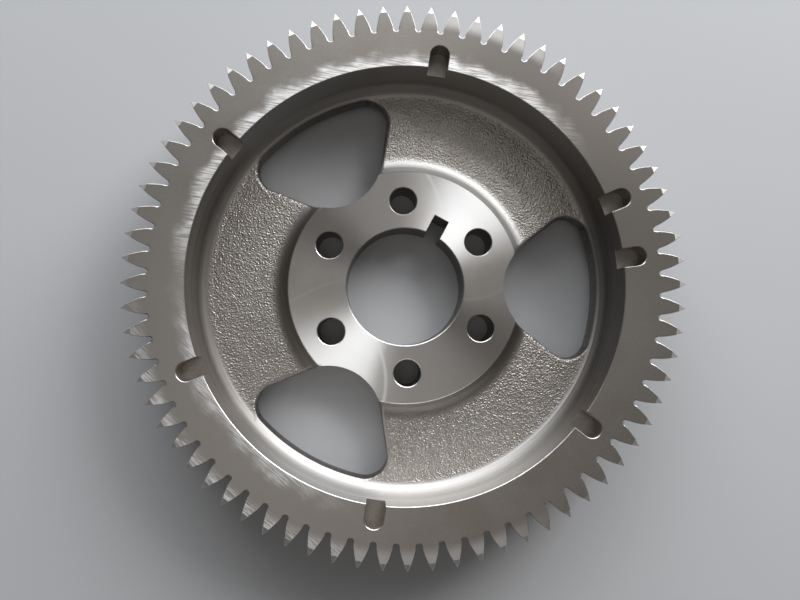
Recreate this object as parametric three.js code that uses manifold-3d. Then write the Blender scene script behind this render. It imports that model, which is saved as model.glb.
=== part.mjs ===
// Camshaft timing gear: one piece, cut from a casting.
// A spur gear with deep, slender teeth, a recessed web with three lightening windows,
// a bolt-on hub with a keyed bore, and sensor notches in the inner edge of the rim.
//
// Millimetres. The origin is on the axis, in the plane of the back faces, and +Z runs
// along the axis towards the recessed front. One tooth is centred on +X.

import * as THREE from 'three';
import { mergeVertices } from 'three/addons/utils/BufferGeometryUtils.js';
import Module from 'manifold-3d';

const wasm = await Module();
wasm.setup();

// ---- teeth ----
const TEETH = 72;
const MODULE = 2.54;                  // 10 diametral pitch
const PRESSURE_ANGLE = deg(19.5);
const TIP_RADIUS = 96.2;
const TIP_LAND = 0.5;                 // width of a tooth's crest
const ROOT_RADIUS = 86.9;
const FLANK_START = 88.3;             // radius where the round root runs into the flank
const FLANK_END = 95.4;
const FLANK_STEPS = 3;
const ROOT_TURNS = [deg(14), deg(50)]; // places on the round root, from its lowest point
const PITCH_RADIUS = TEETH * MODULE / 2;
const BASE_RADIUS = PITCH_RADIUS * Math.cos(PRESSURE_ANGLE);
const TOOTH_STEP = 2 * Math.PI / TEETH;

// ---- rim ----
const WIDTH = 33;                     // face width, front face to back face
const TIP_CHAMFER = 2.7;              // taken off the tooth tips, along the radius
const TIP_CHAMFER_DROP = 1.2;         // and along the axis
const RIM_BORE = 74.6;                // recess wall
const EDGE_CHAMFER = 0.5;
const TURNED_SEGMENTS = 72;

// ---- web and hub ----
const WEB_TOP = 12.5;
const WEB_BOTTOM = 4.5;
const RIM_FILLET = 5.2;
const HUB_TOP = 16;
const HUB_RADIUS = 42.3;
const HUB_FILLET = 8;
const FILLET_STEPS = 3;
const BACK_RIM_BORE = 75.6;
const BACK_HUB_RADIUS = 43;
const BACK_FILLET = 2.5;
const BACK_FILLET_STEPS = 2;

// ---- bore, keyway and bolt holes ----
const BORE_RADIUS = 21.3;
const BORE_CHAMFER = 0.4;
const BORE_SEGMENTS = 60;
const KEYWAY_WIDTH = 5.6;
const KEYWAY_REACH = 28.2;            // from the axis to the bottom of the keyway
const KEYWAY_ANGLE = deg(61.7);
const BOLT_HOLES = 6;
const BOLT_CIRCLE_RADIUS = 31.2;
const BOLT_HOLE_RADIUS = 4.95;
const BOLT_HOLE_CHAMFER = 0.5;
const BOLT_HOLE_SEGMENTS = 16;
const BOLT_HOLE_ANGLE = deg(31.3);

// ---- lightening windows ----
const WINDOWS = 3;
const WINDOW_OUTER = 71;              // radius of the outer edge, about the gear's axis
const WINDOW_CORNER = 8;
const WINDOW_CORNER_ANGLE = deg(16.9);
const WINDOW_NOSE = 19;               // radius of the inner end
const WINDOW_INNER = 35.8;            // closest approach to the gear's axis

// ---- sensor notches ----
const NOTCH_RADIUS = 3.3;             // half the width, and the round outer end
const NOTCH_REACH = 82.7;
const NOTCH_DEPTH = 7.5;
const NOTCH_ANGLE = deg(21.9);
const NOTCH_COUNT = 6;
const EXTRA_NOTCH_ANGLE = NOTCH_ANGLE - deg(15);

// Cutters run past the faces they cut by this much.
const OVERRUN = 1;

function deg(angle) {
  return angle * Math.PI / 180;
}

function polar(radius, angle) {
  return new THREE.Vector2(radius * Math.cos(angle), radius * Math.sin(angle));
}

// ---- solids ----

function solid(geometry) {
  geometry.deleteAttribute('normal');
  geometry.deleteAttribute('uv');
  const merged = mergeVertices(geometry, 1e-4);
  return new wasm.Manifold(new wasm.Mesh({
    numProp: 3,
    vertProperties: new Float32Array(merged.attributes.position.array),
    triVerts: new Uint32Array(merged.index.array),
  }));
}

function toGeometry(manifold) {
  const mesh = manifold.getMesh();
  const geometry = new THREE.BufferGeometry();
  geometry.setAttribute('position', new THREE.BufferAttribute(mesh.vertProperties, 3));
  geometry.setIndex(new THREE.BufferAttribute(mesh.triVerts, 1));
  geometry.computeVertexNormals();
  return geometry;
}

// A solid of revolution about Z from a closed profile of [radius, z] points, listed
// anticlockwise with the axis on the left.
function turned(profile, segments) {
  const points = profile.map(([radius, z]) => new THREE.Vector2(radius, z));
  points.push(points[0].clone());
  return solid(new THREE.LatheGeometry(points, segments).rotateX(Math.PI / 2));
}

// A straight-sided solid from an outline in the XY plane, between two heights.
function extruded(shape, bottom, top, curveSegments = 8) {
  const options = { depth: top - bottom, bevelEnabled: false, curveSegments };
  return solid(new THREE.ExtrudeGeometry(shape, options).translate(0, 0, bottom));
}

// Points of an arc in a turned profile, from one angle to another.
function arcPoints(radius, z, size, from, to, steps) {
  const points = [];
  for (let step = 0; step <= steps; step++) {
    const angle = from + (to - from) * step / steps;
    points.push([radius + size * Math.cos(angle), z + size * Math.sin(angle)]);
  }
  return points;
}

function spun(cutter, angle) {
  return cutter.rotate([0, 0, angle * 180 / Math.PI]);
}

// ---- rim and teeth ----

function involute(angle) {
  return Math.tan(angle) - angle;
}

// Half the angle that a tooth fills at a given radius.
function toothHalfAngle(radius) {
  const slope = Math.acos(Math.min(1, BASE_RADIUS / radius));
  return TOOTH_STEP / 4 + involute(PRESSURE_ANGLE) - involute(slope);
}

// One side of a tooth from its root to its tip, as [radius, half angle] pairs: the round
// bottom of the gap, the involute flank, then the edge of the crest.
function toothSide() {
  const side = [];
  const gap = TOOTH_STEP / 2 - toothHalfAngle(FLANK_START);
  for (const turn of ROOT_TURNS) {
    const radius = FLANK_START - (FLANK_START - ROOT_RADIUS) * Math.cos(turn);
    side.push([radius, TOOTH_STEP / 2 - gap * Math.sin(turn)]);
  }
  for (let step = 0; step <= FLANK_STEPS; step++) {
    const radius = FLANK_START + (FLANK_END - FLANK_START) * step / FLANK_STEPS;
    side.push([radius, toothHalfAngle(radius)]);
  }
  side.push([TIP_RADIUS, TIP_LAND / 2 / TIP_RADIUS]);
  return side;
}

function toothedBlank() {
  const side = toothSide();
  const outline = [];
  for (let tooth = 0; tooth < TEETH; tooth++) {
    const centre = tooth * TOOTH_STEP;
    for (const [radius, half] of side) outline.push(polar(radius, centre - half));
    for (const [radius, half] of side.slice().reverse()) outline.push(polar(radius, centre + half));
  }
  const teeth = extruded(new THREE.Shape(outline), 0, WIDTH);
  const clear = 0.3;                  // the turned envelope stands this far outside the tips
  const inner = TIP_RADIUS - TIP_CHAMFER;
  const drop = TIP_CHAMFER_DROP * (TIP_CHAMFER + clear) / TIP_CHAMFER;
  const envelope = turned([
    [inner, 0], [TIP_RADIUS + clear, drop],
    [TIP_RADIUS + clear, WIDTH - drop], [inner, WIDTH], [0, WIDTH], [0, 0],
  ], TEETH);
  return teeth.intersect(envelope);
}

// ---- recesses ----

// What is turned away at the front: down to the web between rim and hub, and down to the
// hub's face in the middle, which cuts off the top of the hub's fillet.
function frontRecess() {
  const quarter = Math.PI / 2;
  const rise = WEB_TOP + HUB_FILLET - HUB_TOP;
  const cut = Math.asin(rise / HUB_FILLET);
  const hubEdge = HUB_RADIUS + HUB_FILLET * Math.cos(cut);
  const rimEdge = RIM_BORE - RIM_FILLET;
  return turned([
    [0, HUB_TOP],
    ...arcPoints(hubEdge, HUB_TOP + rise, HUB_FILLET, 2 * quarter + cut, 3 * quarter, FILLET_STEPS),
    ...arcPoints(rimEdge, WEB_TOP + RIM_FILLET, RIM_FILLET, -quarter, 0, FILLET_STEPS),
    [RIM_BORE, WIDTH - EDGE_CHAMFER],
    [RIM_BORE + EDGE_CHAMFER + OVERRUN, WIDTH + OVERRUN],
    [0, WIDTH + OVERRUN],
  ], TURNED_SEGMENTS);
}

// The shallow ring left rough between rim and hub at the back.
function backRecess() {
  const quarter = Math.PI / 2;
  const start = WEB_BOTTOM - BACK_FILLET;
  const hubEdge = BACK_HUB_RADIUS + BACK_FILLET;
  const rimEdge = BACK_RIM_BORE - BACK_FILLET;
  return turned([
    [BACK_HUB_RADIUS, -OVERRUN],
    [BACK_RIM_BORE, -OVERRUN],
    ...arcPoints(rimEdge, start, BACK_FILLET, 0, quarter, BACK_FILLET_STEPS),
    ...arcPoints(hubEdge, start, BACK_FILLET, quarter, 2 * quarter, BACK_FILLET_STEPS),
  ], TURNED_SEGMENTS);
}

// ---- cuts through the hub and web ----

// A drilled hole on the axis with a chamfer at both mouths.
function chamferedHole(radius, chamfer, top, segments) {
  const mouth = radius + chamfer + OVERRUN;
  return turned([
    [0, -OVERRUN], [mouth, -OVERRUN], [radius, chamfer],
    [radius, top - chamfer], [mouth, top + OVERRUN], [0, top + OVERRUN],
  ], segments);
}

function keyway() {
  const shape = new THREE.Shape([
    new THREE.Vector2(0, -KEYWAY_WIDTH / 2), new THREE.Vector2(KEYWAY_REACH, -KEYWAY_WIDTH / 2),
    new THREE.Vector2(KEYWAY_REACH, KEYWAY_WIDTH / 2), new THREE.Vector2(0, KEYWAY_WIDTH / 2),
  ]);
  return spun(extruded(shape, -OVERRUN, HUB_TOP + OVERRUN), KEYWAY_ANGLE);
}

function boltHole(index) {
  const angle = BOLT_HOLE_ANGLE + index * 2 * Math.PI / BOLT_HOLES;
  const centre = polar(BOLT_CIRCLE_RADIUS, angle);
  const hole = chamferedHole(BOLT_HOLE_RADIUS, BOLT_HOLE_CHAMFER, HUB_TOP, BOLT_HOLE_SEGMENTS);
  return hole.translate([centre.x, centre.y, 0]);
}

// A rounded triangle: an outer edge about the gear's axis, two round corners, and sides
// that run in to the large round nose.
function windowShape() {
  const corner = polar(WINDOW_OUTER - WINDOW_CORNER, WINDOW_CORNER_ANGLE);
  const nose = WINDOW_INNER + WINDOW_NOSE;
  // The side touches both circles, so it leaves them square to this direction.
  const run = Math.hypot(corner.x - nose, corner.y);
  const heading = Math.atan2(corner.y, corner.x - nose);
  const side = heading + Math.acos((WINDOW_NOSE - WINDOW_CORNER) / run);
  const shape = new THREE.Shape();
  shape.absarc(0, 0, WINDOW_OUTER, -WINDOW_CORNER_ANGLE, WINDOW_CORNER_ANGLE, false);
  shape.absarc(corner.x, corner.y, WINDOW_CORNER, WINDOW_CORNER_ANGLE, side, false);
  shape.absarc(nose, 0, WINDOW_NOSE, side, 2 * Math.PI - side, false);
  shape.absarc(corner.x, -corner.y, WINDOW_CORNER, -side, -WINDOW_CORNER_ANGLE, false);
  return shape;
}

// A radial slot with a round outer end, open to the recess.
function notch(angle) {
  const centre = NOTCH_REACH - NOTCH_RADIUS;
  const start = RIM_BORE - RIM_FILLET;
  const shape = new THREE.Shape();
  shape.moveTo(start, -NOTCH_RADIUS);
  shape.absarc(centre, 0, NOTCH_RADIUS, -Math.PI / 2, Math.PI / 2, false);
  shape.lineTo(start, NOTCH_RADIUS);
  return spun(extruded(shape, WIDTH - NOTCH_DEPTH, WIDTH + OVERRUN), angle);
}

// ---- the gear ----

function gearBody() {
  const cuts = [frontRecess(), backRecess(), keyway(), notch(EXTRA_NOTCH_ANGLE)];
  cuts.push(chamferedHole(BORE_RADIUS, BORE_CHAMFER, HUB_TOP, BORE_SEGMENTS));
  for (let index = 0; index < BOLT_HOLES; index++) {
    cuts.push(boltHole(index));
  }
  for (let index = 0; index < NOTCH_COUNT; index++) {
    cuts.push(notch(NOTCH_ANGLE + index * 2 * Math.PI / NOTCH_COUNT));
  }
  const window = extruded(windowShape(), -OVERRUN, WIDTH, 10);
  for (let index = 0; index < WINDOWS; index++) {
    cuts.push(spun(window, index * 2 * Math.PI / WINDOWS));
  }
  return cuts.reduce((body, cut) => body.subtract(cut), toothedBlank());
}

const castIron = new THREE.MeshStandardMaterial({ color: 0x8d877f, roughness: 0.45, metalness: 1 });

const gear = new THREE.Mesh(toGeometry(gearBody()), castIron);
gear.name = 'timing_gear';

const group = new THREE.Group();
group.add(gear);

export default group;
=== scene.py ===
import math

import bpy
import numpy as np
from mathutils import Matrix, Vector, noise
from mathutils.geometry import delaunay_2d_cdt


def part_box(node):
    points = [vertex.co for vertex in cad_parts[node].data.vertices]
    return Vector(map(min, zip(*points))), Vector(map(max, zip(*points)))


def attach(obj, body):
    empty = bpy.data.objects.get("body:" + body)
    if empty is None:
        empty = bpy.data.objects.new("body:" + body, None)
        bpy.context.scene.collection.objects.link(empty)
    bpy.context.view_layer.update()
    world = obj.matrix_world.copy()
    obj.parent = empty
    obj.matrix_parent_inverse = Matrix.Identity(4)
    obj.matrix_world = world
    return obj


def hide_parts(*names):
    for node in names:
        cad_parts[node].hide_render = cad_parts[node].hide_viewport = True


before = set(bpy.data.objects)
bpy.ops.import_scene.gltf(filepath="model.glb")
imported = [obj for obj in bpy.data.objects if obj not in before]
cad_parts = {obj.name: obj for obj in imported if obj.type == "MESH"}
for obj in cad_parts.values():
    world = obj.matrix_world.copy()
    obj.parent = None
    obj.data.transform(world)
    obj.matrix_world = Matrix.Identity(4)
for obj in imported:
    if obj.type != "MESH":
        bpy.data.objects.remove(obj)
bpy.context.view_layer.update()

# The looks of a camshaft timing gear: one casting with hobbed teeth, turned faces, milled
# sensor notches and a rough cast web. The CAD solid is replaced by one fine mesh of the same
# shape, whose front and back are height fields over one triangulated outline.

NODE = "timing_gear"
NODE_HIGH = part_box(NODE)[1]
METRE = 1000.0                     # in millimetres, the unit of the mesh's sizes below

# ---- sizes, in millimetres ----

WIDTH = NODE_HIGH[2] * METRE
TIP_RADIUS = NODE_HIGH[0] * METRE

TEETH = 72
MODULE = 2.54
TOOTH_STEP = 2 * math.pi / TEETH
PITCH_RADIUS = TEETH * MODULE / 2
PRESSURE_ANGLE = math.radians(19.5)
BASE_RADIUS = PITCH_RADIUS * math.cos(PRESSURE_ANGLE)
ROOT_RADIUS = 86.9
FLANK_START = 88.3                 # where the round root runs into the involute
FLANK_END = 95.4                   # and where the involute runs into the round tip
ROOT_STEPS = 5                     # steps along half a root
FLANK_STEPS = 5                    # along a flank
TIP_STEPS = 3                      # and along half a tip
TIP_CHAMFER_RADIUS = 93.5          # where the conical chamfer on the tips begins
TIP_CHAMFER_DROP = 1.2
TOOTH_EDGE = 0.16                  # deburring chamfer along every flank
ROOT_EDGE = 0.45                   # and round the bottoms of the gaps
ROOT_EDGE_END = 87.05              # radius where the wider one begins to narrow
ROOT_BAND_END = FLANK_START + 0.5  # below it only the outline itself is dropped
EDGE_SLOPE = 0.75                  # fall of the small chamfers for each step sideways
ON_EDGE = 0.02                     # a point nearer than this to the teeth's outline is on it

RIM_BORE = 74.6
RIM_EDGE = 0.22
RIM_FILLET = 5.2
WALL_DRAFT = 0.06                  # lean of the recess wall, from its fillet to its mouth
WEB_TOP = 12.5
WEB_BOTTOM = 4.5
HUB_TOP = 16.0
HUB_RADIUS = 42.3
HUB_FILLET = 8.0
HUB_EDGE = 0.3                     # chamfer round the hub's turned face
BACK_RIM_BORE = 75.6
BACK_HUB_RADIUS = 43.0
BACK_FILLET = 2.5
BACK_DRAFT = 0.1                   # lean of the back's two walls

BORE_RADIUS = 21.3
BORE_EDGE = 0.3
BORE_STEPS = 180
KEYWAY_HALF_WIDTH = 2.8
KEYWAY_REACH = 28.2
KEYWAY_ANGLE = math.radians(61.7)
KEYWAY_EDGE = 0.15
BOLT_HOLES = 6
BOLT_CIRCLE = 31.2
BOLT_RADIUS = 4.95
BOLT_EDGE = 0.3
BOLT_STEPS = 48
BOLT_ANGLE = math.radians(31.3)

WINDOWS = 3
WINDOW_OUTER = 71.0
WINDOW_CORNER = 8.0
WINDOW_CORNER_ANGLE = math.radians(16.9)
WINDOW_NOSE = 19.0
WINDOW_INNER = 35.8
WINDOW_ROUNDING = 1.1              # cast edge of the windows
WINDOW_ROUNDING_RIM = 0.4          # and where it runs into the turned fillet
ROUNDING_FADE = (67.0, 70.5)       # radii between which it goes from one to the other
ROUNDING_LINES = (0.12, 0.4, 1.0)  # places across the rounding that have a line of points
WINDOW_SPACING = 0.6               # between points along a window's outline
WINDOW_ROWS = 9                    # rows of faces up a window's wall
WINDOW_BULGE = 0.32                # of the wall, at the casting's parting line
WINDOW_GRAIN_RADIUS = 55.0         # turns a place round the axis into one along the grain
WINDOW_GRAIN_STEP = 0.9            # and each row moves this far across it

NOTCH_RADIUS = 3.3
NOTCH_REACH = 82.7
NOTCH_DEPTH = 7.5
NOTCH_FLOOR = WIDTH - NOTCH_DEPTH
NOTCH_START = 73.6                 # inside the recess wall, so that the notch is open to it
NOTCH_DRAFT = 0.05
NOTCH_EDGE = 0.22
NOTCH_STEPS = 24
NOTCH_LINES = (-NOTCH_DRAFT, 0.0, NOTCH_EDGE)
NOTCHES = 6
FIRST_NOTCH = 21.9                 # degrees
EXTRA_NOTCH = FIRST_NOTCH - 15     # the seventh, out of step with the others
NOTCH_DEGREES = [FIRST_NOTCH + 360 / NOTCHES * k for k in range(NOTCHES)] + [EXTRA_NOTCH]
NOTCH_ANGLES = [math.radians(degrees) for degrees in NOTCH_DEGREES]

MERGED = 1e-5                      # points of the plan nearer than this are one
FAR = 9.0                          # stands for any distance too large to matter
WALL_MATCH = 0.1                   # a wall this near to an outline stands on it
RING_SNAP = 0.006                  # a point this near to a ring's radius is on the ring
NOTCH_SNAP = 0.012                 # one this near to a notch's line is on the line

GRAIN_SPACING = 0.53               # between the points that carry the casting's grain
GRAIN_SHAKE = 0.12                 # of each point, as a share of the spacing
GRAIN_MARGIN = 0.4                 # left free beside the fillets
GRAIN_RING_MARGIN = 0.22           # and beside each ring of points
GRAIN_WINDOW_MARGIN = 0.25         # and beyond the windows' rounding
GRAIN_HEIGHT = 0.045
PEBBLES = 0.74                     # how many of each of the grain's bumps there are
LUMPS = 0.55                       # to a millimetre
SWELLS = 0.16
GRAIN_STARTS = (44.5, 49.5)        # radii where the grain fades in outside the hub
GRAIN_ENDS = (69.8, 72.0)          # and out into the turned fillet
BACK_WEB_END = 73.2
FRONT_LEVEL = 0.0                  # places in the noise, far apart
BACK_LEVEL = 40.0
WINDOW_LEVEL = 80.0


# ---- outlines, as arrays of points ----

def polar(radius, angle):
    return np.stack([radius * np.cos(angle), radius * np.sin(angle)], axis=-1)


def from_axis(points):
    """Each point's distance from the origin."""
    return np.hypot(points[:, 0], points[:, 1])


def azimuth_of(points):
    return np.arctan2(points[:, 1], points[:, 0])


def turn(points, angle):
    c, s = math.cos(angle), math.sin(angle)
    return points @ np.array([[c, s], [-s, c]])


def arc(centre, radius, start, end, steps):
    return np.asarray(centre) + polar(radius, np.linspace(start, end, steps + 1))


def ring(radius, count):
    return polar(radius, np.arange(count) * 2 * math.pi / count)


def involute(angle):
    return math.tan(angle) - angle


def tooth_half_angle(radius):
    slope = math.acos(min(1.0, BASE_RADIUS / radius))
    return TOOTH_STEP / 4 + involute(PRESSURE_ANGLE) - involute(slope)


def tooth_side():
    """One side of a tooth, from the middle of the gap to the tip, as radius and angle from the
    tooth's centre: half of a round-bottomed gap, the involute, and half of a round tip."""
    side = []
    gap = TOOTH_STEP / 2 - tooth_half_angle(FLANK_START)
    for t in np.linspace(0, math.pi / 2, ROOT_STEPS + 1)[:-1]:
        radius = FLANK_START - (FLANK_START - ROOT_RADIUS) * math.cos(t)
        side.append((radius, TOOTH_STEP / 2 - gap * math.sin(t)))
    for radius in np.linspace(FLANK_START, FLANK_END, FLANK_STEPS + 1):
        side.append((radius, tooth_half_angle(radius)))
    tip = tooth_half_angle(FLANK_END)
    for t in np.linspace(0, math.pi / 2, TIP_STEPS + 1)[1:]:
        radius = FLANK_END + (TIP_RADIUS - FLANK_END) * math.sin(t)
        side.append((radius, tip * math.cos(t)))
    return side


def one_tooth():
    """A tooth centred on +X, from the middle of one gap to the middle of the next."""
    side = tooth_side()
    below = [polar(r, -a) for r, a in side]
    above = [polar(r, a) for r, a in reversed(side)]
    return np.array(below + above[1:])


def tooth_outline():
    """All the teeth as one closed anticlockwise loop."""
    tooth = one_tooth()[:-1]
    return np.concatenate([turn(tooth, k * TOOTH_STEP) for k in range(TEETH)])


def tooth_edge_width(radius):
    """Width of the deburring chamfer at a place on the teeth."""
    return np.interp(radius, (ROOT_EDGE_END, FLANK_START), (ROOT_EDGE, TOOTH_EDGE))


def inset(loop, distance):
    """A closed anticlockwise loop moved towards its inside by a distance for each point."""
    ahead = np.roll(loop, -1, 0) - loop
    behind = loop - np.roll(loop, 1, 0)
    ahead /= np.linalg.norm(ahead, axis=1, keepdims=True)
    behind /= np.linalg.norm(behind, axis=1, keepdims=True)
    normal = np.stack([-(ahead + behind)[:, 1], (ahead + behind)[:, 0]], axis=1)
    normal /= np.linalg.norm(normal, axis=1, keepdims=True)
    straight = np.stack([-ahead[:, 1], ahead[:, 0]], axis=1)
    return loop + normal * (distance / np.sum(normal * straight, axis=1))[:, None]


def window_circles():
    """The window's corner and nose circles, and the angle at which its side leaves them."""
    corner = polar(WINDOW_OUTER - WINDOW_CORNER, WINDOW_CORNER_ANGLE)
    nose = np.array([WINDOW_INNER + WINDOW_NOSE, 0.0])
    run = corner - nose
    side = math.atan2(run[1], run[0])
    side += math.acos((WINDOW_NOSE - WINDOW_CORNER) / np.hypot(*run))
    return corner, nose, side


def window_outline(grow=0.0):
    """A window centred on +X, moved outwards by grow."""
    corner, nose, side = window_circles()
    mirror = corner * (1, -1)
    tip = WINDOW_CORNER_ANGLE
    spans = [
        ((0, 0), WINDOW_OUTER + grow, -tip, tip),
        (corner, WINDOW_CORNER + grow, tip, side),
        (nose, WINDOW_NOSE + grow, side, 2 * math.pi - side),
        (mirror, WINDOW_CORNER + grow, -side, -tip),
    ]
    corners = []
    for centre, radius, start, end in spans:
        steps = max(4, round(radius * abs(end - start) / WINDOW_SPACING))
        corners.append(arc(centre, radius, start, end, steps))
    points = []
    for this, following in zip(corners, corners[1:] + corners[:1]):
        points.append(this[:-1])
        gap = np.linalg.norm(following[0] - this[-1])
        steps = max(1, round(gap / WINDOW_SPACING))
        points.append(this[-1] + (following[0] - this[-1]) * np.arange(steps)[:, None] / steps)
    return np.concatenate(points)


def bore_outline(grow=0.0, keyway_grow=0.0):
    """The bore and its keyway, with the keyway along +X."""
    radius = BORE_RADIUS + grow
    half = KEYWAY_HALF_WIDTH + keyway_grow
    reach = KEYWAY_REACH + keyway_grow
    mouth = math.asin(half / radius)
    round_part = arc((0, 0), radius, mouth, 2 * math.pi - mouth, BORE_STEPS)
    return np.concatenate([round_part, [(reach, -half), (reach, half)]])


def notch_line(grow):
    """A notch's edge with the notch along +X, from the recess round its end and back."""
    radius = NOTCH_RADIUS + grow
    bend = arc((NOTCH_REACH - NOTCH_RADIUS, 0), radius, -math.pi / 2, math.pi / 2, NOTCH_STEPS)
    return np.concatenate([[(NOTCH_START, -radius)], bend, [(NOTCH_START, radius)]])


# ---- turned profiles, as radius and height ----

def fillet(centre_radius, centre_height, size, start, end, steps):
    return arc((centre_radius, centre_height), size, math.radians(start), math.radians(end), steps)


FILLET_CUT = math.degrees(math.asin((WEB_TOP + HUB_FILLET - HUB_TOP) / HUB_FILLET))
HUB_FOOT = HUB_RADIUS + HUB_FILLET * math.cos(math.radians(FILLET_CUT))
HUB_SIDE = fillet(HUB_FOOT, WEB_TOP + HUB_FILLET, HUB_FILLET, 180 + FILLET_CUT, 270, 8)
FRONT_PROFILE = np.concatenate([
    [(0, HUB_TOP), (HUB_RADIUS - HUB_EDGE, HUB_TOP)],
    [(HUB_RADIUS, HUB_TOP - HUB_EDGE * EDGE_SLOPE)],
    HUB_SIDE[1:],
    fillet(RIM_BORE - WALL_DRAFT - RIM_FILLET, WEB_TOP + RIM_FILLET, RIM_FILLET, -90, 0, 6),
    [(RIM_BORE, WIDTH - RIM_EDGE), (RIM_BORE + RIM_EDGE, WIDTH), (TIP_CHAMFER_RADIUS, WIDTH)],
    [(TIP_RADIUS, WIDTH - TIP_CHAMFER_DROP)],
])
BACK_FILLET_HEIGHT = WEB_BOTTOM - BACK_FILLET
BACK_PROFILE = np.concatenate([
    [(0, 0), (BACK_HUB_RADIUS, 0)],
    fillet(BACK_HUB_RADIUS + BACK_DRAFT + BACK_FILLET, BACK_FILLET_HEIGHT, BACK_FILLET, 180, 90, 3),
    fillet(BACK_RIM_BORE - BACK_DRAFT - BACK_FILLET, BACK_FILLET_HEIGHT, BACK_FILLET, 90, 0, 3),
    [(BACK_RIM_BORE, 0), (TIP_CHAMFER_RADIUS, 0), (TIP_RADIUS, TIP_CHAMFER_DROP)],
])
PROFILE_RADII = np.concatenate([FRONT_PROFILE[1:-1, 0], BACK_PROFILE[1:-1, 0]])
RING_RADII = np.unique(np.round(PROFILE_RADII, 5))
RING_CHORD = 0.8                   # length of one side of a ring


def snapped_radius(points):
    """Distance from the axis, taking a point on a ring's straight side to be on the ring."""
    radius = from_axis(points)
    nearest = RING_RADII[np.abs(radius[:, None] - RING_RADII[None, :]).argmin(1)]
    return np.where(np.abs(radius - nearest) < RING_SNAP, nearest, radius)


# ---- distances from the edges, positive on the material if they have a sign ----

def folded(points, count, phase=0.0):
    """Points turned by whole sectors into the one of count sectors that is centred on +X."""
    step = 2 * math.pi / count
    angle = azimuth_of(points) - phase
    angle -= np.round(angle / step) * step
    return polar(from_axis(points), angle)


def distance_to_line(points, line):
    """Distance to an open line of straight pieces."""
    best = np.full(len(points), np.inf)
    for a, b in zip(line[:-1], line[1:]):
        along = b - a
        t = np.clip((points - a) @ along / (along @ along), 0, 1)
        best = np.minimum(best, np.linalg.norm(points - a - t[:, None] * along, axis=1))
    return best


def from_teeth(points):
    """Distance to the teeth's outline, for points that are near the teeth."""
    tooth = one_tooth()
    tooth = np.concatenate([turn(tooth[-3:-1], -TOOTH_STEP), tooth, turn(tooth[1:3], TOOTH_STEP)])
    near = from_axis(points) > ROOT_RADIUS - 2
    distance = np.full(len(points), FAR)
    distance[near] = distance_to_line(folded(points[near], TEETH), tooth)
    return distance


def inside_teeth(points):
    """Whether each point is within the teeth's outline."""
    p = folded(points, TEETH)
    radius = from_axis(p)
    angle = np.abs(azimuth_of(p))
    side = np.array(tooth_side())
    limit = np.interp(radius, side[:, 0], side[:, 1], left=math.pi, right=-1)
    return angle < limit


def from_window(points):
    """Distance to the nearest window, negative inside it."""
    corner, nose, side = window_circles()
    p = folded(points, WINDOWS)
    p[:, 1] = np.abs(p[:, 1])
    radius = from_axis(p)
    outer = radius - WINDOW_OUTER
    to_corner, to_nose = p - corner, p - nose
    normal = polar(1.0, side)
    flank = to_nose @ normal - WINDOW_NOSE
    along = to_nose @ np.array([normal[1], -normal[0]])
    length = np.hypot(*(corner - nose))
    reach = math.sqrt(length ** 2 - (WINDOW_NOSE - WINDOW_CORNER) ** 2)
    in_nose = along < 0
    corner_angle = azimuth_of(to_corner)
    in_corner = (along > reach) & (corner_angle > WINDOW_CORNER_ANGLE)
    distance = np.maximum(outer, flank)
    distance = np.where(in_nose, from_axis(to_nose) - WINDOW_NOSE, distance)
    round_corner = from_axis(to_corner) - WINDOW_CORNER
    return np.where(in_corner, round_corner, distance)


def from_bolt_hole(points):
    """Distance outside the nearest bolt hole."""
    p = folded(points, BOLT_HOLES, BOLT_ANGLE)
    return np.hypot(p[:, 0] - BOLT_CIRCLE, p[:, 1]) - BOLT_RADIUS


def from_bore(points):
    """Distance outside the round part of the bore."""
    return from_axis(points) - BORE_RADIUS


def from_keyway(points):
    """Distance outside the keyway's sides and bottom."""
    p = turn(points, -KEYWAY_ANGLE)
    sideways = np.abs(p[:, 1]) - KEYWAY_HALF_WIDTH
    return np.where(p[:, 0] > 0, np.maximum(sideways, p[:, 0] - KEYWAY_REACH), FAR)


def from_notch(points):
    """Distance outside the nearest notch's edge, negative over its floor."""
    distance = np.full(len(points), FAR)
    centre = NOTCH_REACH - NOTCH_RADIUS
    for angle in NOTCH_ANGLES:
        p = turn(points, -angle)
        beyond = np.maximum(p[:, 0] - centre, 0)
        this = np.hypot(beyond, p[:, 1]) - NOTCH_RADIUS
        distance = np.where(p[:, 0] > 0, np.minimum(distance, this), distance)
    for edge in NOTCH_LINES:
        distance = np.where(np.abs(distance - edge) < NOTCH_SNAP, edge, distance)
    return distance


# ---- the front and back as heights ----

def fade(value, start, end):
    """A smooth rise from nothing at start to one at end."""
    t = np.clip((value - start) / (end - start), 0, 1)
    return t * t * (3 - 2 * t)


def grain(points, level):
    """Height of the casting's grain: pebbles about a millimetre across on gentle waves."""
    heights = np.empty(len(points))
    for i, (x, y) in enumerate(points):
        near = noise.voronoi(Vector((x * PEBBLES, y * PEBBLES, level)))[0]
        swell = noise.noise(Vector((x * SWELLS, y * SWELLS, level + 7)))
        lump = noise.noise(Vector((x * LUMPS, y * LUMPS, level + 3)))
        heights[i] = 0.9 - 1.7 * near[0] + 0.55 * lump + 0.8 * swell
    return heights * GRAIN_HEIGHT


def cast_grain(points, radius, level):
    """The grain where the surface is as cast, and nothing where it is turned."""
    share = fade(radius, *GRAIN_STARTS) * (1 - fade(radius, *GRAIN_ENDS))
    height = np.zeros(len(points))
    rough = share > 0
    height[rough] = grain(points[rough], level) * share[rough]
    return height


def rounding(points, radius):
    """How far the cast edge of a window has dropped, by distance from it."""
    size = np.interp(radius, ROUNDING_FADE, (WINDOW_ROUNDING, WINDOW_ROUNDING_RIM))
    inside = np.clip(1 - from_window(points) / size, 0, 1)
    return size * (1 - np.sqrt(1 - inside ** 2))


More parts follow.
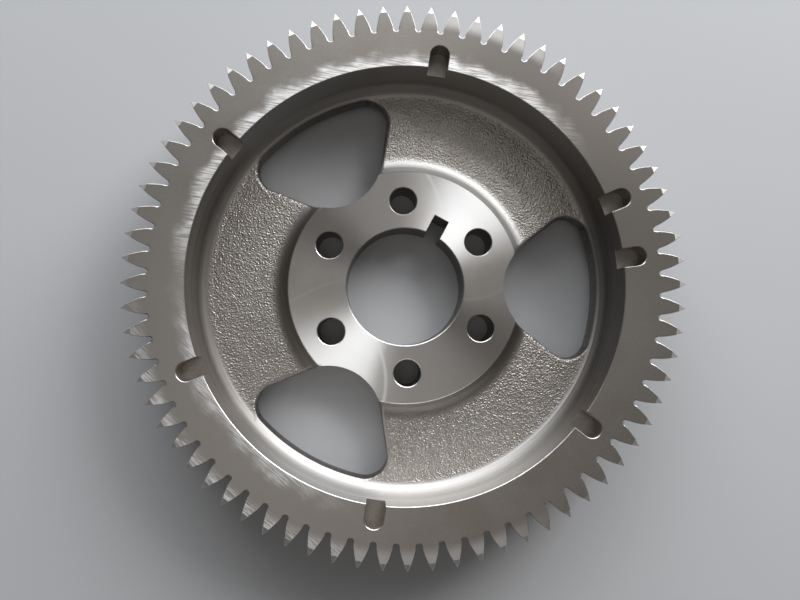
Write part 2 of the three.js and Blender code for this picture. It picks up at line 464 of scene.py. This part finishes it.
def edge_drop(points):
    """How far the small chamfers take a turned face down, by distance from its edges."""
    radius, gap = from_axis(points), from_teeth(points)
    drop = np.maximum(0, tooth_edge_width(radius) - gap)
    drop[(gap > ON_EDGE) & (radius < ROOT_BAND_END)] = 0
    drop = np.maximum(drop, BOLT_EDGE - from_bolt_hole(points))
    drop = np.maximum(drop, BORE_EDGE - from_bore(points))
    return np.maximum(drop, KEYWAY_EDGE - from_keyway(points)) * EDGE_SLOPE


def front_height(points):
    radius = snapped_radius(points)
    height = np.interp(radius, *FRONT_PROFILE.T)
    height += cast_grain(points, radius, FRONT_LEVEL)
    height -= rounding(points, radius) * fade(radius, HUB_RADIUS - 1, HUB_RADIUS + 1)
    height -= edge_drop(points)
    notch_heights = (NOTCH_FLOOR, WIDTH - NOTCH_EDGE, WIDTH)
    notch = np.interp(from_notch(points), NOTCH_LINES, notch_heights)
    return np.where(radius > NOTCH_START, np.minimum(height, notch), height)


def back_height(points):
    radius = snapped_radius(points)
    height = np.interp(radius, *BACK_PROFILE.T)
    height += cast_grain(points, radius, BACK_LEVEL)
    height += rounding(points, radius) * fade(radius, BACK_HUB_RADIUS - 0.5, BACK_HUB_RADIUS + 1)
    return height + edge_drop(points)


# ---- the plan, triangulated ----

def plan_loops():
    """Closed loops of the plan: its real edges first, then the lines that shape the surface."""
    teeth = tooth_outline()
    edges = [teeth, turn(bore_outline(), KEYWAY_ANGLE)]
    lines = [inset(teeth, tooth_edge_width(from_axis(teeth)))]
    lines.append(turn(bore_outline(BORE_EDGE, KEYWAY_EDGE), KEYWAY_ANGLE))
    for k in range(WINDOWS):
        angle = k * 2 * math.pi / WINDOWS
        edges.append(turn(window_outline(), angle))
        for share in ROUNDING_LINES:
            lines.append(turn(window_outline(share * WINDOW_ROUNDING), angle))
    for k in range(BOLT_HOLES):
        centre = polar(BOLT_CIRCLE, BOLT_ANGLE + k * 2 * math.pi / BOLT_HOLES)
        edges.append(centre + ring(BOLT_RADIUS, BOLT_STEPS))
        lines.append(centre + ring(BOLT_RADIUS + BOLT_EDGE, BOLT_STEPS))
    for radius in RING_RADII:
        lines.append(ring(radius, 36 * round(2 * math.pi * radius / RING_CHORD / 36)))
    return edges + lines


def grain_points():
    """Points that carry the casting's grain: a hexagonal lattice, shaken a little."""
    rng = np.random.default_rng(5)
    rows = np.arange(-RIM_BORE, RIM_BORE, GRAIN_SPACING * math.sqrt(0.75))
    columns = np.arange(-RIM_BORE, RIM_BORE, GRAIN_SPACING)
    x, y = np.meshgrid(columns, rows)
    x[1::2] += GRAIN_SPACING / 2
    points = np.stack([x.ravel(), y.ravel()], axis=1)
    points += rng.uniform(-GRAIN_SHAKE, GRAIN_SHAKE, points.shape) * GRAIN_SPACING
    radius = from_axis(points)
    keep = radius > BACK_HUB_RADIUS + BACK_FILLET + GRAIN_MARGIN
    keep &= radius < RIM_BORE - RIM_FILLET - GRAIN_MARGIN
    keep &= from_window(points) > WINDOW_ROUNDING + GRAIN_WINDOW_MARGIN
    for ring_radius in RING_RADII:
        keep &= np.abs(radius - ring_radius) > GRAIN_RING_MARGIN
    return points[keep]


def triangulated_plan():
    """Points and triangles of the gear seen from above."""
    points, edges = [], []
    for loop in plan_loops():
        first, count = len(points), len(loop)
        points.extend(loop)
        edges.extend((first + i, first + (i + 1) % count) for i in range(count))
    for angle in NOTCH_ANGLES:
        for grow in NOTCH_LINES:
            first = len(points)
            line = turn(notch_line(grow), angle)
            points.extend(line)
            edges.extend((first + i, first + i + 1) for i in range(len(line) - 1))
    points.extend(grain_points())
    flat = [Vector((float(x), float(y))) for x, y in points]
    found, _, faces, _, _, _ = delaunay_2d_cdt(flat, edges, [], 0, MERGED, False)
    found = np.array([tuple(v) for v in found])
    faces = np.array(faces)
    middle = found[faces].mean(axis=1)
    keep = inside_teeth(middle) & (from_window(middle) > 0) & (from_bolt_hole(middle) > 0)
    keep &= (from_bore(middle) > 0) & (from_keyway(middle) > 0)
    return found, faces[keep]


# ---- one closed mesh ----

ZONES = ["rim", "web", "wall", "hub", "edge", "tip", "notch", "tooth", "window", "bore"]
ZONE = {name: index for index, name in enumerate(ZONES)}


def surface_zones(points, on_edge, front):
    """The kind of surface at each triangle of the front or the back, from its middle and from
    whether it touches the teeth's outline."""
    radius = from_axis(points)
    zone = np.full(len(points), ZONE["rim"])
    zone[radius > TIP_CHAMFER_RADIUS] = ZONE["tip"]
    hub, bore = (HUB_RADIUS, RIM_BORE) if front else (BACK_HUB_RADIUS, BACK_RIM_BORE)
    zone[radius < bore] = ZONE["wall"]
    zone[radius < (GRAIN_ENDS[1] if front else BACK_WEB_END)] = ZONE["web"]
    zone[radius < hub] = ZONE["hub"]
    if front:
        zone[(radius > HUB_RADIUS - HUB_EDGE) & (radius < HUB_RADIUS)] = ZONE["edge"]
        zone[(radius > RIM_BORE) & (radius < RIM_BORE + RIM_EDGE)] = ZONE["edge"]
        gap = from_notch(points)
        zone[(radius > RIM_BORE) & (gap < NOTCH_EDGE)] = ZONE["edge"]
        zone[(radius > RIM_BORE) & (gap < 0)] = ZONE["notch"]
    zone[on_edge | (edge_drop(points) > 0)] = ZONE["edge"]
    return zone


def plan_boundary(faces):
    """Directed edges of the plan that have a triangle on their left only."""
    directed = np.concatenate([faces[:, [0, 1]], faces[:, [1, 2]], faces[:, [2, 0]]])
    size = faces.max() + 1
    forward = directed[:, 0].astype(np.int64) * size + directed[:, 1]
    backward = directed[:, 1].astype(np.int64) * size + directed[:, 0]
    return directed[~np.isin(forward, backward)]


def wall_zone(points):
    """What kind of wall stands on each place of the plan's boundary."""
    radius = from_axis(points)
    zone = np.full(len(points), ZONE["bore"])
    zone[np.abs(from_window(points)) < WALL_MATCH] = ZONE["window"]
    zone[radius > ROOT_RADIUS - WALL_MATCH] = ZONE["tooth"]
    return zone


def outward_from(plan, border):
    """At each point of the border, the direction that leads off the material."""
    along = plan[border[:, 1]] - plan[border[:, 0]]
    outward = np.zeros_like(plan)
    for end in (0, 1):
        np.add.at(outward, border[:, end], np.stack([along[:, 1], -along[:, 0]], axis=1))
    ends = np.unique(border)
    outward[ends] /= np.linalg.norm(outward[ends], axis=1, keepdims=True)
    return outward


def window_rows(plan, border, top, bottom, first_new):
    """Rows of points up the windows' walls, and the number of each by row and by border point.
    The walls bulge a little to the parting line and carry the casting's grain."""
    outward = outward_from(plan, border)
    ends = np.unique(border)
    ends = ends[wall_zone(plan[ends]) == ZONE["window"]]
    places = plan[ends]
    span = azimuth_of(places) * WINDOW_GRAIN_RADIUS
    points, rows = [], {}
    for row in range(1, WINDOW_ROWS):
        share = row / WINDOW_ROWS
        bulge = WINDOW_BULGE * (1 - abs(2 * share - 1))
        across = np.full(len(span), row * WINDOW_GRAIN_STEP)
        rough = grain(np.stack([span, across], axis=1), WINDOW_LEVEL)
        rough = rough * min(1, 4 * share * (1 - share))
        moved = places + outward[ends] * (bulge + rough)[:, None]
        height = bottom[ends] * (1 - share) + top[ends] * share
        rows[row] = dict(zip(ends, first_new + len(points) + np.arange(len(ends))))
        points.extend(np.column_stack([moved, height]))
    return np.array(points), rows


def side_walls(plan, border, top, bottom, first_new):
    """Walls from the back's border to the front's. Those of the windows have rows of their own
    points, and the others are straight."""
    extra, rows = window_rows(plan, border, top, bottom, first_new)
    count = len(plan)
    faces, zones = [], []
    for (a, b), zone in zip(border, wall_zone((plan[border[:, 0]] + plan[border[:, 1]]) / 2)):
        levels = [(a + count, b + count)]
        if zone == ZONE["window"]:
            levels += [(rows[row][a], rows[row][b]) for row in range(1, WINDOW_ROWS)]
        levels.append((a, b))
        for (la, lb), (ua, ub) in zip(levels[:-1], levels[1:]):
            faces += [(la, lb, ub), (la, ub, ua)]
            zones += [zone, zone]
    return extra, np.array(faces), np.array(zones)


def gear_mesh():
    """The points, the triangles and each triangle's kind of surface."""
    plan, faces = triangulated_plan()
    used, faces = np.unique(faces, return_inverse=True)
    plan, faces = plan[used], faces.reshape(-1, 3)
    top, bottom = front_height(plan), back_height(plan)
    border = plan_boundary(faces)
    middle = plan[faces].mean(axis=1)
    extra, wall_faces, wall_zones = side_walls(plan, border, top, bottom, 2 * len(plan))
    points = np.concatenate([
        np.column_stack([plan, top]), np.column_stack([plan, bottom]), extra])
    triangles = np.concatenate([faces, faces[:, ::-1] + len(plan), wall_faces])
    on_edge = (from_teeth(plan) < ON_EDGE)[faces].any(axis=1)
    front, back = (surface_zones(middle, on_edge, side) for side in (True, False))
    zones = np.concatenate([front, back, wall_zones])
    return points, triangles, zones


STEEP = math.radians(38)           # a bend that shades as an edge on a cut surface
TINY = 1e-20                       # keeps a sliver's normal from being divided by nothing


def mark_sharp(mesh, triangles, zones):
    """Makes sharp the edges between two kinds of surface, but not where web, recess wall and
    window run into each other, and the steep edges on cut surfaces."""
    corners = mesh.vertices
    points = np.empty(len(corners) * 3)
    corners.foreach_get("co", points)
    a, b, c = (points.reshape(-1, 3)[triangles[:, i]] for i in range(3))
    normals = np.cross(b - a, c - a)
    normals /= np.maximum(np.linalg.norm(normals, axis=1, keepdims=True), TINY)
    pairs = np.concatenate([triangles[:, [0, 1]], triangles[:, [1, 2]], triangles[:, [2, 0]]])
    key = np.sort(pairs, axis=1).astype(np.int64) @ np.array([len(corners), 1])
    owner = np.tile(np.arange(len(triangles)), 3)
    order = np.argsort(key, kind="stable")
    one, two = owner[order[0::2]], owner[order[1::2]]
    key = key[order[0::2]]
    steep = np.sum(normals[one] * normals[two], axis=1) < math.cos(STEEP)
    joined = [ZONE["web"], ZONE["wall"], ZONE["window"]]
    soft = np.isin(zones[one], joined) & np.isin(zones[two], joined)
    in_wall = (zones[one] == ZONE["wall"]) & (zones[two] == ZONE["wall"])
    cut = ~np.isin(zones[one], [ZONE["web"], ZONE["window"]]) & ~soft
    sharp = ((zones[one] != zones[two]) & ~soft) | (steep & (cut | in_wall))
    ends = np.empty(len(mesh.edges) * 2, dtype=np.int64)
    mesh.edges.foreach_get("vertices", ends)
    mesh_key = np.sort(ends.reshape(-1, 2), axis=1) @ np.array([len(corners), 1])
    flags = sharp[np.searchsorted(key, mesh_key)]
    layer = mesh.attributes.new("sharp_edge", "BOOLEAN", "EDGE")
    layer.data.foreach_set("value", flags)


def make_gear():
    """The one visible piece, in metres, with a material slot for each kind of surface."""
    points, triangles, zones = gear_mesh()
    mesh = bpy.data.meshes.new("gear_body")
    mesh.from_pydata((points / METRE).tolist(), [], triangles.tolist())
    mesh.polygons.foreach_set("use_smooth", np.ones(len(triangles), dtype=bool))
    mesh.polygons.foreach_set("material_index", zones.astype(np.int32))
    mark_sharp(mesh, triangles, zones)
    mesh.update()
    body = bpy.data.objects.new("gear_body", mesh)
    bpy.context.scene.collection.objects.link(body)
    for zone in ZONES:
        mesh.materials.append(SURFACES[zone]())
    return body


# ---- materials ----

MARK_RADIUS = 60                   # radius at which the rings' marks have their stated length
SWEEP_WIDTH = 1.1                  # half the width of a soft line


class Nodes:
    """Short ways to build one material's nodes. Positions come in metres from the object."""

    def __init__(self, name):
        self.material = bpy.data.materials.new(name)
        self.material.use_nodes = True
        self.tree = self.material.node_tree
        self.shader = self.tree.nodes["Principled BSDF"]
        place = self.add("ShaderNodeTexCoord").outputs["Object"]
        self.place = self.vector("SCALE", place, scale=METRE)
        split = self.add("ShaderNodeSeparateXYZ")
        self.link(self.place, split.inputs[0])
        self.x, self.y, self.z = split.outputs
        flat = self.add("ShaderNodeCombineXYZ")
        self.link(self.x, flat.inputs[0])
        self.link(self.y, flat.inputs[1])
        self.flat = flat.outputs[0]
        self.radius = self.vector("LENGTH", self.flat)
        self.around = self.vector("NORMALIZE", self.flat)

    def add(self, kind, **settings):
        node = self.tree.nodes.new(kind)
        for key, value in settings.items():
            setattr(node, key, value)
        return node

    def link(self, source, target):
        if isinstance(source, bpy.types.NodeSocket):
            self.tree.links.new(source, target)
        else:
            target.default_value = source

    def vector(self, operation, a, b=None, scale=None):
        node = self.add("ShaderNodeVectorMath", operation=operation)
        self.link(a, node.inputs[0])
        if b is not None:
            self.link(b, node.inputs[1])
        if scale is not None:
            self.link(scale, node.inputs["Scale"])
        return node.outputs["Value" if operation in ("LENGTH", "DOT_PRODUCT") else "Vector"]

    def math(self, operation, a, b=0.0, clamp=False):
        node = self.add("ShaderNodeMath", operation=operation, use_clamp=clamp)
        self.link(a, node.inputs[0])
        self.link(b, node.inputs[1])
        return node.outputs[0]

    def remap(self, value, low, high, to_low=0.0, to_high=1.0):
        node = self.add("ShaderNodeMapRange", interpolation_type="SMOOTHSTEP")
        for slot, source in zip(node.inputs, (value, low, high, to_low, to_high)):
            self.link(source, slot)
        return node.outputs[0]

    def mix(self, share, a, b):
        node = self.add("ShaderNodeMix", data_type="RGBA")
        for slot, source in zip((node.inputs[0], node.inputs[6], node.inputs[7]), (share, a, b)):
            self.link(source, slot)
        return node.outputs[2]

    def noise(self, place, scale, detail=2.0, roughness=0.5):
        node = self.add("ShaderNodeTexNoise")
        self.link(place, node.inputs["Vector"])
        node.inputs["Scale"].default_value = scale
        node.inputs["Detail"].default_value = detail
        node.inputs["Roughness"].default_value = roughness
        return node.outputs["Fac"]

    def pebbles(self, place, scale):
        node = self.add("ShaderNodeTexVoronoi", feature="SMOOTH_F1")
        self.link(place, node.inputs["Vector"])
        node.inputs["Scale"].default_value = scale
        return node.outputs["Distance"]

    def rings(self, length, pitch, height_pitch=None):
        """Noise drawn out round the axis: marks about length long and pitch apart."""
        across = self.math("MULTIPLY", self.radius, 1 / pitch)
        if height_pitch is not None:
            across = self.math("ADD", across, self.math("MULTIPLY", self.z, 1 / height_pitch))
        lift = self.add("ShaderNodeCombineXYZ")
        self.link(across, lift.inputs[2])
        spread = self.vector("SCALE", self.around, scale=MARK_RADIUS / length)
        return self.noise(self.vector("ADD", spread, lift.outputs[0]), 1.0, 3.0)

    def strokes(self, width, length, heading):
        """Straight brush strokes along a heading in degrees."""
        a = math.radians(heading)
        along = self.vector("DOT_PRODUCT", self.flat, (math.cos(a), math.sin(a), 0))
        across = self.vector("DOT_PRODUCT", self.flat, (-math.sin(a), math.cos(a), 0))
        spread = self.add("ShaderNodeCombineXYZ")
        self.link(self.math("MULTIPLY", along, 1 / length), spread.inputs[0])
        self.link(self.math("MULTIPLY", across, 1 / width), spread.inputs[1])
        return self.noise(spread.outputs[0], 1.0, 3.0)

    def sweep(self, centre, radius):
        """A soft line along a circle about an upright axis."""
        away = self.vector("SUBTRACT", self.flat, (*centre, 0))
        gap = self.math("SUBTRACT", self.vector("LENGTH", away), radius)
        return self.remap(self.math("ABSOLUTE", gap), 0.0, SWEEP_WIDTH, 1, 0)

    def towards(self, azimuth, start, end):
        """One in the direction of an azimuth in degrees, fading out between two angles from it."""
        a = math.radians(azimuth)
        share = self.vector("DOT_PRODUCT", self.around, (math.cos(a), math.sin(a), 0))
        return self.remap(share, math.cos(math.radians(end)), math.cos(math.radians(start)))

    def bump(self, height, distance, strength=1.0, under=None):
        node = self.add("ShaderNodeBump")
        node.inputs["Strength"].default_value = strength
        node.inputs["Distance"].default_value = distance / METRE
        self.link(height, node.inputs["Height"])
        if under is not None:
            self.link(under, node.inputs["Normal"])
        return node.outputs[0]

    def finish(self, color, roughness, normal=None, anisotropic=0.0):
        shader = self.shader.inputs
        shader["Metallic"].default_value = 1.0
        self.link(color, shader["Base Color"])
        self.link(roughness, shader["Roughness"])
        if normal is not None:
            self.link(normal, shader["Normal"])
        if anisotropic:
            shader["Anisotropic"].default_value = anisotropic
            shader["Anisotropic Rotation"].default_value = 0.25
            tangent = self.add("ShaderNodeTangent", direction_type="RADIAL", axis="Z")
            self.link(tangent.outputs[0], shader["Tangent"])
        return self.material


def grey(value, warmth):
    """A metal's colour: a grey, warmed a little towards brown."""
    return (value * (1 + warmth), value, value * (1 - warmth), 1.0)


# Painted highlight arcs on the hub, reflections of other lights: centre, radius, azimuth and the
# angles where each fades out.
HUB_HIGHLIGHT_ARCS = [
    ((-5.4, -63.2), 67.8, 180, 18, 34),
    ((-29.8, 18.2), 44.3, 70, 10, 24),
    ((-38.1, -34.0), 31.1, 253, 10, 24),
    ((23.3, 17.2), 21.8, 353, 10, 24),
]


def hub_face():
    """Turned bright, with painted highlights in two sectors, painted shade in two others and a few
    faint painted highlight arcs.
    """
    n = Nodes("turned_hub_face")
    fine = n.rings(40, 0.12)
    broad = n.rings(90, 1.8)
    stain = n.noise(n.place, 0.06, 2.0)
    color = n.mix(n.remap(stain, 0.35, 0.7), grey(0.90, 0.02), grey(0.80, 0.05))
    # painted shade: two darker sectors of the turned face
    shaded = n.math("MAXIMUM", n.towards(118, 15, 52), n.towards(296, 22, 62))
    color = n.mix(shaded, color, grey(0.36, 0.06))
    # painted highlight: two white sectors where the turned face catches the light
    lit = n.math("MAXIMUM", n.towards(45, 15, 32), n.towards(225, 15, 30))
    color = n.mix(lit, color, grey(1.0, 0.0))
    # painted highlight arcs, reflections of other lights on the turned face
    highlight_arcs = 0.0
    for centre, radius, azimuth, start, end in HUB_HIGHLIGHT_ARCS:
        sweep = n.math("MULTIPLY", n.sweep(centre, radius), n.towards(azimuth, start, end))
        highlight_arcs = n.math("MAXIMUM", highlight_arcs, sweep)
    color = n.mix(n.math("MULTIPLY", highlight_arcs, 0.45), color, grey(1.0, 0.0))
    roughness = n.remap(n.math("ADD", fine, n.math("MULTIPLY", broad, 1.5)), 0.9, 1.6, 0.44, 0.50)
    normal = n.bump(fine, 0.002, under=n.bump(broad, 0.012))
    return n.finish(color, roughness, normal, 0.9)


def rim_face():
    """Ground, with painted shade on one side and a painted highlight on the other, then brushed:
    brush strokes near the inner edge, painted bright only where they catch the light, and
    painted highlights on the teeth."""
    n = Nodes("ground_rim_face")
    fine = n.noise(n.place, 1.3, 3.0, 0.6)
    patch = n.noise(n.place, 0.07, 3.0)
    color = n.mix(n.remap(patch, 0.35, 0.68), grey(0.38, 0.06), grey(0.34, 0.10))
    color = n.mix(n.remap(fine, 0.35, 0.7, 0, 0.3), color, grey(0.27, 0.09))
    # painted shade on the side towards azimuth 40, painted highlight on the side towards azimuth
    # 212
    color = n.mix(n.towards(40, 8, 55), color, grey(0.21, 0.09))
    color = n.mix(n.towards(212, 20, 70), color, grey(0.46, 0.05))
    level = n.strokes(0.4, 9.0, -8)
    slanted = n.strokes(0.45, 6.0, -42)
    ragged = n.math("MULTIPLY", n.math("SUBTRACT", n.noise(n.place, 0.16, 3.0), 0.5), 9)
    inner = n.remap(n.math("ADD", n.radius, ragged), RIM_BORE + 0.8, RIM_BORE + 6, 1, 0)
    # brush strokes, painted bright only in the sectors where they catch the light
    top = n.math("MULTIPLY", n.towards(112, 40, 80), n.remap(level, 0.36, 0.58, 0.2, 1))
    low = n.math("MULTIPLY", n.towards(217, 16, 42), n.remap(slanted, 0.36, 0.58, 0.3, 1))
    # painted highlights on the teeth in a few sectors
    teeth = n.math("MULTIPLY", n.towards(222, 15, 45), n.remap(slanted, 0.36, 0.60))
    teeth = n.math("ADD", teeth, n.math("MULTIPLY", n.towards(275, 8, 30), 0.5))
    teeth = n.math("ADD", teeth, n.math("MULTIPLY", n.towards(72, 6, 20), 0.4))
    teeth = n.math("MULTIPLY", n.remap(n.radius, 87.5, 91.5), teeth)
    # brush strokes with painted highlight, and the painted highlights on the teeth
    brush_strokes_and_highlight = n.math("MULTIPLY", inner, n.math("MAXIMUM", top, low))
    brush_strokes_and_highlight = n.math("MAXIMUM", brush_strokes_and_highlight, teeth)
    color = n.mix(brush_strokes_and_highlight, color, grey(0.95, 0.01))
    roughness = n.remap(brush_strokes_and_highlight, 0, 1, 0.39, 0.68)
    normal = n.bump(fine, 0.012, under=n.bump(level, 0.010))
    return n.finish(color, roughness, normal)


def web_surface():
    """As cast on the web and turned in both fillets, told apart by the radius. The fillets have
    painted highlight on one side each and painted shade on the rest."""
    n = Nodes("cast_web")
    out_of_hub = n.remap(n.radius, *GRAIN_STARTS)
    into_rim = n.remap(n.radius, *GRAIN_ENDS)
    cast = n.math("SUBTRACT", out_of_hub, into_rim)
    beads = n.remap(n.pebbles(n.place, 1.1), 0.0, 0.5, 1, 0)
    fine = n.noise(n.place, 1.7, 2.0, 0.5)
    swell = n.noise(n.place, 0.12, 3.0)
    color = n.mix(n.remap(fine, 0.4, 0.62), grey(0.52, 0.05), grey(0.40, 0.09))
    color = n.mix(n.remap(swell, 0.35, 0.7, 0, 0.6), color, grey(0.40, 0.09))
    # painted highlight on the hub fillet's side towards azimuth 68, painted shade elsewhere
    side = n.mix(n.towards(68, 30, 85), grey(0.24, 0.08), grey(0.85, 0.02))
    # painted highlight on the rim fillet's side towards azimuth 278, painted shade elsewhere, and a
    # mid tone painted towards azimuth 90
    turned = n.mix(n.towards(278, 20, 95), grey(0.20, 0.05), grey(0.74, 0.01))
    turned = n.mix(n.towards(90, 30, 72), turned, grey(0.50, 0.04))
    color = n.mix(into_rim, n.mix(out_of_hub, side, color), turned)
    roughness = n.math("ADD", n.remap(cast, 0, 1, 0.46, 0.36), n.remap(into_rim, 0, 1, 0, 0.12))
    grains = n.math("ADD", n.math("MULTIPLY", beads, 0.6), n.math("MULTIPLY", fine, 1.7))
    grainy = n.bump(n.math("MULTIPLY", grains, cast), 0.20)
    return n.finish(color, roughness, grainy)


def recess_wall():
    """Turned, with painted shade on one side of the gear and a painted highlight on the other."""
    n = Nodes("turned_recess")
    fine = n.rings(60, 0.4, 0.4)
    broad = n.rings(120, 2.4, 2.4)
    # painted highlight towards azimuth 268, painted shade elsewhere, with a mid tone towards
    # azimuth 90
    color = n.mix(n.towards(268, 12, 62), grey(0.18, 0.08), grey(0.76, 0.02))
    color = n.mix(n.towards(90, 30, 72), color, grey(0.42, 0.05))
    color = n.mix(n.remap(broad, 0.35, 0.65, 0, 0.3), color, grey(0.36, 0.06))
    roughness = n.remap(fine, 0.3, 0.7, 0.56, 0.60)
    return n.finish(color, roughness, n.bump(fine, 0.004))


def bright_edge():
    n = Nodes("deburred_edge")
    nicks = n.noise(n.place, 1.4, 3.0)
    color = n.mix(n.remap(nicks, 0.4, 0.7), grey(0.74, 0.02), grey(0.58, 0.04))
    return n.finish(color, n.remap(nicks, 0.3, 0.7, 0.30, 0.42), n.bump(nicks, 0.02))


def tip_cone():
    n = Nodes("turned_tip_chamfer")
    fine = n.rings(5, 0.3)
    color = n.mix(n.remap(fine, 0.4, 0.6), grey(0.84, 0.02), grey(0.68, 0.05))
    return n.finish(color, n.remap(fine, 0.3, 0.7, 0.52, 0.62), n.bump(fine, 0.01))


def notch_surface():
    n = Nodes("milled_notch")
    marks = n.noise(n.place, 1.1, 3.0)
    color = n.mix(n.remap(marks, 0.35, 0.65), grey(0.36, 0.08), grey(0.32, 0.09))
    return n.finish(color, n.remap(marks, 0.3, 0.7, 0.44, 0.50), n.bump(marks, 0.005))


def tooth_flank():
    n = Nodes("hobbed_flank")
    feed = n.noise(n.vector("MULTIPLY", n.place, (0.5, 0.5, 3.2)), 1.0, 3.0)
    patch = n.noise(n.place, 0.2, 3.0)
    color = n.mix(n.remap(patch, 0.35, 0.7), grey(0.42, 0.04), grey(0.32, 0.08))
    return n.finish(color, n.remap(feed, 0.3, 0.7, 0.28, 0.40), n.bump(feed, 0.01))


def window_wall():
    n = Nodes("cast_window_wall")
    fine = n.noise(n.place, 1.3, 3.0, 0.6)
    # dark greys: painted shade for the windows' walls, which stand in shadow
    color = n.mix(n.remap(fine, 0.4, 0.65), grey(0.24, 0.05), grey(0.15, 0.10))
    return n.finish(color, n.remap(fine, 0.3, 0.7, 0.38, 0.48), n.bump(fine, 0.2))


def bore_wall():
    n = Nodes("bored_wall")
    marks = n.noise(n.vector("MULTIPLY", n.place, (0.12, 0.12, 4.0)), 1.0, 2.0)
    # dark greys: painted shade for the bore and bolt holes, which stand in shadow
    color = n.mix(n.remap(marks, 0.4, 0.6), grey(0.22, 0.05), grey(0.16, 0.07))
    return n.finish(color, n.remap(marks, 0.3, 0.7, 0.28, 0.38), n.bump(marks, 0.005))


SURFACES = {
    "rim": rim_face, "web": web_surface, "wall": recess_wall, "hub": hub_face,
    "edge": bright_edge, "tip": tip_cone, "notch": notch_surface, "tooth": tooth_flank,
    "window": window_wall, "bore": bore_wall,
}


# ---- floor, light and camera ----

# Places and sizes here are in metres.
FLOOR_HALF = 3.0
FLOOR_HEIGHT = -0.0002
LIGHT_DISTANCE = 1.3
CAMERA_PLACE = Vector((-0.0120, -0.0171, 0.2684))
CAMERA_AIM = Vector((-0.00255, -0.0057, WIDTH / METRE))


def make_floor():
    corners = [(x * FLOOR_HALF, y * FLOOR_HALF, 0) for x, y in ((-1, -1), (1, -1), (1, 1), (-1, 1))]
    mesh = bpy.data.meshes.new("floor")
    mesh.from_pydata(corners, [], [(0, 1, 2, 3)])
    floor = bpy.data.objects.new("floor", mesh)
    floor.location.z = FLOOR_HEIGHT
    material = bpy.data.materials.new("floor")
    material.use_nodes = True
    shader = material.node_tree.nodes["Principled BSDF"].inputs
    shader["Base Color"].default_value = (0.62, 0.63, 0.65, 1)
    shader["Roughness"].default_value = 0.9
    mesh.materials.append(material)
    bpy.context.scene.collection.objects.link(floor)


def softbox(name, azimuth, elevation, size, power, color=(1, 1, 1)):
    """A rectangular light that faces the gear, at an azimuth measured from +X."""
    light = bpy.data.lights.new(name, "AREA")
    light.shape = "RECTANGLE"
    light.size, light.size_y = size
    light.energy = power
    light.color = color
    lamp = bpy.data.objects.new(name, light)
    a, e = math.radians(azimuth), math.radians(elevation)
    heading = Vector((math.cos(a) * math.cos(e), math.sin(a) * math.cos(e), math.sin(e)))
    lamp.location = heading * LIGHT_DISTANCE
    lamp.rotation_euler = lamp.location.to_track_quat("Z", "Y").to_euler()
    bpy.context.scene.collection.objects.link(lamp)


def make_lights():
    softbox("broad_light", 93, 26, (1.5, 1.0), 15, (0.94, 0.97, 1.0))
    softbox("window_light", 47, 28, (0.55, 0.9), 11.5)
    softbox("upper_light", 85, 60, (1.4, 0.4), 1.0, (0.96, 0.98, 1.0))
    softbox("ceiling", 250, 80, (1.0, 0.9), 1.25, (1.0, 0.95, 0.9))
    world = bpy.data.worlds.new("studio")
    world.use_nodes = True
    background = world.node_tree.nodes["Background"]
    background.inputs["Color"].default_value = (1.0, 0.98, 0.95, 1)
    background.inputs["Strength"].default_value = 0.06
    bpy.context.scene.world = world


def make_camera():
    """Almost straight above, a little to the lower left of the axis, close in."""
    camera = bpy.data.cameras.new("camera")
    camera.lens = 31.5
    camera.sensor_width = 36
    camera.clip_start = 0.01
    view = bpy.data.objects.new("camera", camera)
    back = (CAMERA_PLACE - CAMERA_AIM).normalized()
    right = Vector((0, 1, 0)).cross(back).normalized()
    facing = Matrix((right, back.cross(right), back)).transposed().to_4x4()
    view.matrix_world = Matrix.Translation(CAMERA_PLACE) @ facing
    bpy.context.scene.collection.objects.link(view)
    bpy.context.scene.camera = view


make_camera()
make_lights()
make_floor()

gear = make_gear()
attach(gear, "root")
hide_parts(NODE)
bpy.context.scene.view_settings.view_transform = "Standard"
